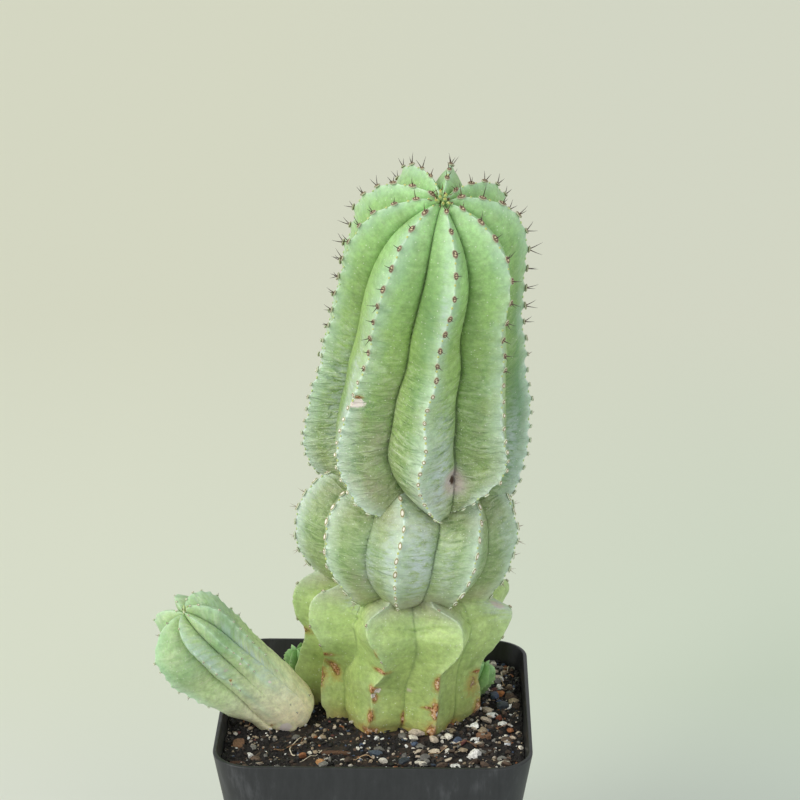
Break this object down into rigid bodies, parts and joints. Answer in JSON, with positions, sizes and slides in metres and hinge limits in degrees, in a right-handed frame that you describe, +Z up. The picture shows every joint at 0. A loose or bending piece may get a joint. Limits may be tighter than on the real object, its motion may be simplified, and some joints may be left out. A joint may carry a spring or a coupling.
{
  "type": "potted succulent plant",
  "caption": "Upright ribbed euphorbia of stacked swollen joints with a leaning offset, growing in compost in a square tapered nursery pot.",
  "frame": {"origin": "centre of the underside of the pot, on the surface that it stands on", "axes": "+Z up; -Y towards the front, the side that the stem's top leans to; +X to the right, away from the offset"},
  "size_m": [0.0997, 0.086, 0.2345],
  "materials": {
    "pot_plastic": "satin black moulded plastic",
    "compost": "damp dark gritty compost",
    "stem_skin": "waxy succulent skin with grey bloom",
    "offset_skin": "waxy succulent skin, paler at the base",
    "bud_skin": "fresh green succulent skin",
    "spine_horn": "dry brown horn with grey tips",
    "pale_mineral": "rough white pumice and perlite",
    "slate": "blue-grey slate chip",
    "clay_granule": "fired clay granule",
    "bark": "rough bark chip"
  },
  "bodies": {
    "root": {"bark_chip_back": "bark", "bark_chip_corner": "bark", "bark_chip_front": "bark", "bark_chip_left": "bark", "bark_chip_right": "bark", "bud_left": "bud_skin", "bud_right": "bud_skin", "chalk_chip_corner": "pale_mineral", "chalk_chip_front": "pale_mineral", "chalk_chip_right": "pale_mineral", "chalk_chip_side": "pale_mineral", "clay_granule_front": "clay_granule", "clay_granule_left": "clay_granule", "clay_granule_right": "clay_granule", "clay_granule_side": "clay_granule", "main_stem": "stem_skin", "perlite_back": "pale_mineral", "perlite_back_right": "pale_mineral", "perlite_front": "pale_mineral", "perlite_left": "pale_mineral", "pot": "pot_plastic", "pumice_large": "pale_mineral", "pumice_small": "pale_mineral", "side_stem": "offset_skin", "slate_back": "slate", "slate_block": "slate", "slate_front": "slate", "slate_left": "slate", "slate_middle": "slate", "soil": "compost", "spines_a_high": "spine_horn", "spines_a_low": "spine_horn", "spines_b_high": "spine_horn", "spines_b_low": "spine_horn", "spines_c_high": "spine_horn", "spines_c_low": "spine_horn", "spines_d_high": "spine_horn", "spines_d_low": "spine_horn", "spines_e_high": "spine_horn", "spines_e_low": "spine_horn", "spines_f_high": "spine_horn", "spines_f_low": "spine_horn", "spines_g_high": "spine_horn", "spines_g_low": "spine_horn", "spines_h_high": "spine_horn", "spines_h_low": "spine_horn", "spines_i_high": "spine_horn", "spines_i_low": "spine_horn"}
  },
  "joints": []
}
